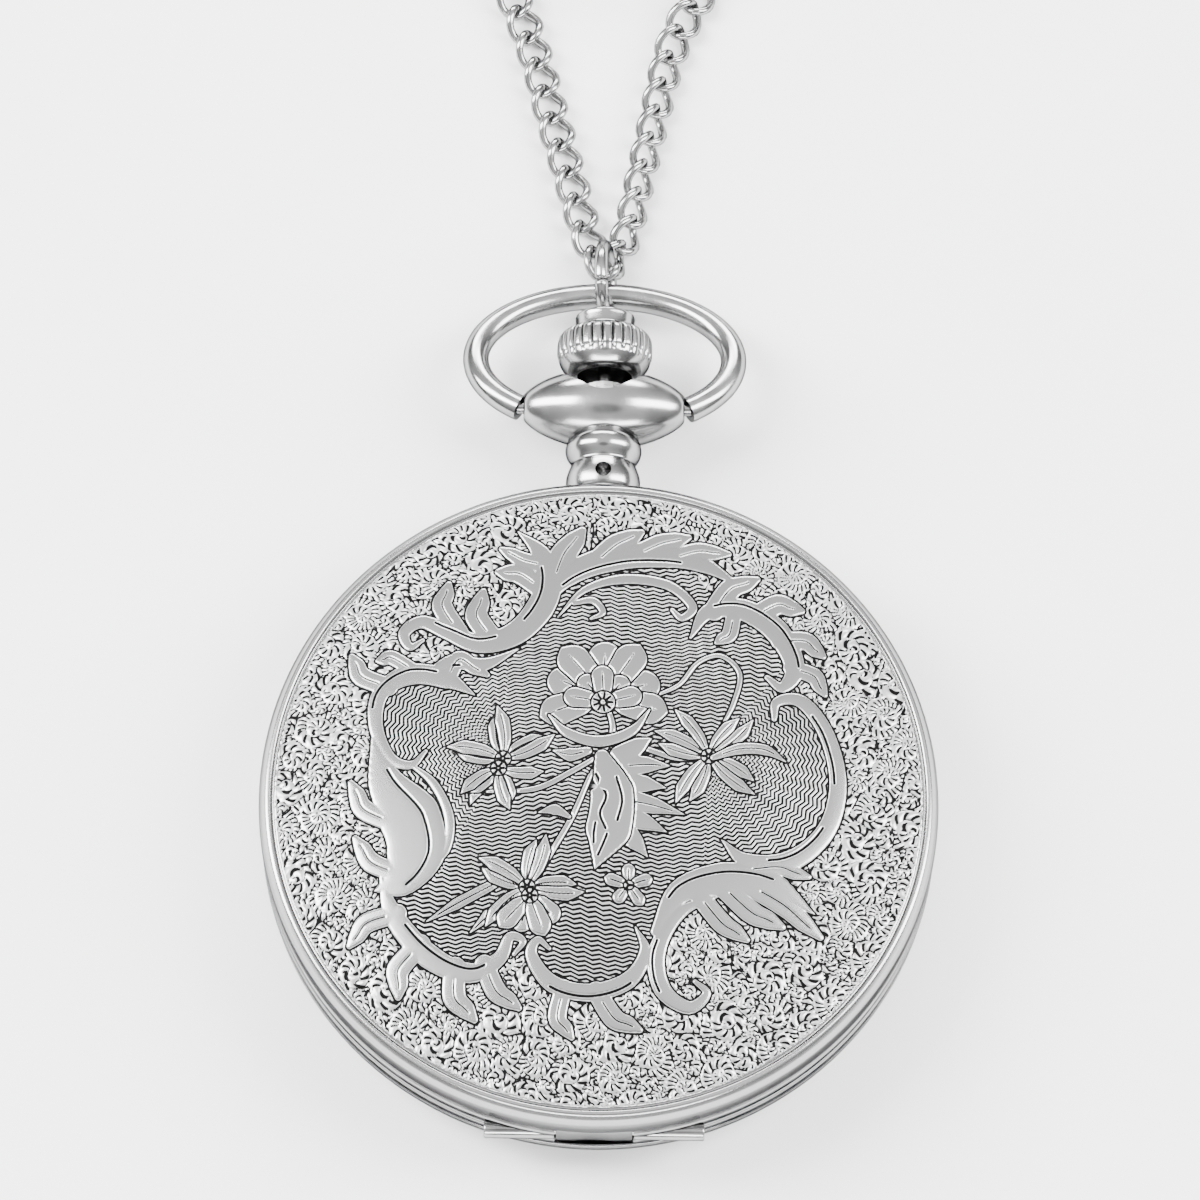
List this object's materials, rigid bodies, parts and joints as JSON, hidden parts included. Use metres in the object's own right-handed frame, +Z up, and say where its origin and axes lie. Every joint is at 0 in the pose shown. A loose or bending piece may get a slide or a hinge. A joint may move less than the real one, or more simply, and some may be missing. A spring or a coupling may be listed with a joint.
{
  "type": "hunter pocket watch",
  "caption": "Round full-hunter pocket watch with an engraved hinged lid, crown, bow and curb necklace chain, holding a hand-wound movement, dial and hands.",
  "frame": {"origin": "middle of the flat that the back cover rests on", "axes": "+Z up out of the lid, +Y towards twelve o'clock and the crown, +X towards three o'clock"},
  "size_m": [0.0468, 0.132, 0.0118],
  "materials": {
    "plated_metal": "gloss",
    "steel": "satin",
    "gilt_brass": "satin",
    "blued_steel": "gloss",
    "enamel": "satin",
    "crystal_glass": "gloss",
    "spacer_plastic": "satin"
  },
  "bodies": {
    "case": {"case_band": "plated_metal", "pendant": "plated_metal", "lid_hinge_pin": "steel", "lift_spring": "steel", "back_cover": "plated_metal", "crystal_bezel": "plated_metal", "crystal_gasket": "spacer_plastic", "crystal": "crystal_glass", "movement_ring": "spacer_plastic", "main_plate": "gilt_brass", "barrel_bridge": "gilt_brass", "train_bridge": "gilt_brass", "balance_cock": "gilt_brass", "pallet_cock": "gilt_brass", "barrel_bridge_screw_1": "steel", "barrel_bridge_screw_2": "steel", "barrel_bridge_screw_3": "steel", "train_bridge_screw_1": "steel", "train_bridge_screw_2": "steel", "train_bridge_screw_3": "steel", "balance_cock_screw": "steel", "hairspring": "blued_steel", "dial": "enamel", "chain_left_strand": "plated_metal", "chain_right_strand": "plated_metal", "chain_coil": "plated_metal"},
    "lid": {"front_lid": "plated_metal"},
    "latch": {"latch_spring": "steel"},
    "sleeve": {"push_sleeve": "steel"},
    "stem": {"winding_stem": "steel", "winding_pinion": "steel", "sliding_clutch": "steel"},
    "crown_knob": {"crown": "plated_metal"},
    "lever": {"setting_lever": "steel"},
    "bow_loop": {"bow": "plated_metal", "jump_ring": "plated_metal"},
    "ratchet": {"ratchet_wheel": "steel", "barrel_arbor": "steel"},
    "crown_gear": {"crown_wheel": "steel"},
    "click_pawl": {"click": "steel"},
    "barrel": {"mainspring_barrel": "gilt_brass", "mainspring": "blued_steel"},
    "center": {"center_wheel": "gilt_brass", "cannon_pinion": "steel", "minute_hand": "blued_steel"},
    "third": {"third_wheel": "gilt_brass"},
    "fourth": {"fourth_wheel": "gilt_brass", "seconds_hand": "blued_steel"},
    "escape": {"escape_wheel": "steel"},
    "pallet": {"pallet_fork": "steel"},
    "balance": {"balance_wheel": "gilt_brass"},
    "minute_gear": {"minute_wheel": "gilt_brass"},
    "hour": {"hour_wheel": "gilt_brass", "hour_hand": "blued_steel"}
  },
  "joints": [
    {"name": "lid_hinge", "type": "hinge", "parent": "case", "child": "lid", "pos_m": [0, -0.02265, 0.0056], "axis": [1, 0, 0], "range_deg": [0, 100]},
    {"name": "bow_swing", "type": "hinge", "parent": "case", "child": "bow_loop", "pos_m": [0, 0.0305, 0.0057], "axis": [1, 0, 0], "range_deg": [-65, 115]},
    {"name": "crown_press", "type": "slide", "parent": "case", "child": "sleeve", "axis": [0, 1, 0], "range_m": [-0.0007, 0], "stiffness_N_per_m": 400},
    {"name": "crown_turn", "type": "hinge", "parent": "sleeve", "child": "stem", "pos_m": [0, 0.031, 0.0057], "axis": [0, 1, 0], "continuous": true},
    {"name": "crown_pull", "type": "slide", "parent": "stem", "child": "crown_knob", "axis": [0, 1, 0], "range_m": [0, 0.0008]},
    {"name": "setting_lever_turn", "type": "hinge", "parent": "case", "child": "lever", "pos_m": [0.0034, 0.0152, 0.0066], "axis": [0, 0, 1], "range_deg": [0, 17]},
    {"name": "latch_release", "type": "hinge", "parent": "case", "child": "latch", "pos_m": [0.0102, 0.01697, 0.0058], "axis": [0, 0, 1], "range_deg": [0, 2.4]},
    {"name": "hands_turn", "type": "hinge", "parent": "case", "child": "center", "pos_m": [0, 0, 0.0037], "axis": [0, 0, -1], "continuous": true},
    {"name": "barrel_turn", "type": "hinge", "parent": "case", "child": "barrel", "pos_m": [-0.00708, 0.00594, 0.0037], "axis": [0, 0, -1], "continuous": true},
    {"name": "third_wheel_turn", "type": "hinge", "parent": "case", "child": "third", "pos_m": [0.00454, -0.00506, 0.0037], "axis": [0, 0, -1], "continuous": true},
    {"name": "seconds_turn", "type": "hinge", "parent": "case", "child": "fourth", "pos_m": [0, -0.0086, 0.0037], "axis": [0, 0, -1], "continuous": true},
    {"name": "escape_wheel_turn", "type": "hinge", "parent": "case", "child": "escape", "pos_m": [-0.00158, -0.01294, 0.0037], "axis": [0, 0, -1], "continuous": true},
    {"name": "minute_wheel_turn", "type": "hinge", "parent": "case", "child": "minute_gear", "pos_m": [0.00316, 0.00115, 0.0037], "axis": [0, 0, -1], "continuous": true},
    {"name": "hour_turn", "type": "hinge", "parent": "case", "child": "hour", "pos_m": [0, 0, 0.0037], "axis": [0, 0, -1], "continuous": true},
    {"name": "crown_wheel_turn", "type": "hinge", "parent": "case", "child": "crown_gear", "pos_m": [0, 0.0136, 0.0037], "axis": [0, 0, 1], "continuous": true},
    {"name": "ratchet_turn", "type": "hinge", "parent": "case", "child": "ratchet", "pos_m": [-0.00708, 0.00594, 0.0037], "axis": [0, 0, 1], "continuous": true},
    {"name": "click_lift", "type": "hinge", "parent": "case", "child": "click_pawl", "pos_m": [-0.01384, 0.00348, 0.0013], "axis": [0, 0, 1], "range_deg": [0, 8]},
    {"name": "pallet_rock", "type": "hinge", "parent": "case", "child": "pallet", "pos_m": [-0.00508, -0.01294, 0.0037], "axis": [0, 0, 1], "range_deg": [-5, 5]},
    {"name": "balance_swing", "type": "hinge", "parent": "case", "child": "balance", "pos_m": [-0.0068, -0.0093, 0.0037], "axis": [0, 0, 1], "range_deg": [-270, 270]}
  ],
  "couplings": [
    {"joint": "barrel_turn", "follows": "hands_turn", "ratio": -0.16667},
    {"joint": "third_wheel_turn", "follows": "hands_turn", "ratio": -7.5},
    {"joint": "seconds_turn", "follows": "hands_turn", "ratio": 60},
    {"joint": "escape_wheel_turn", "follows": "hands_turn", "ratio": -600},
    {"joint": "minute_wheel_turn", "follows": "hands_turn", "ratio": -0.33333},
    {"joint": "hour_turn", "follows": "hands_turn", "ratio": 0.083333},
    {"joint": "crown_wheel_turn", "follows": "crown_turn", "ratio": 0.5},
    {"joint": "ratchet_turn", "follows": "crown_turn", "ratio": -0.375},
    {"joint": "latch_release", "follows": "crown_press", "rad_per_m": -54},
    {"joint": "setting_lever_turn", "follows": "crown_pull", "rad_per_m": 350}
  ]
}
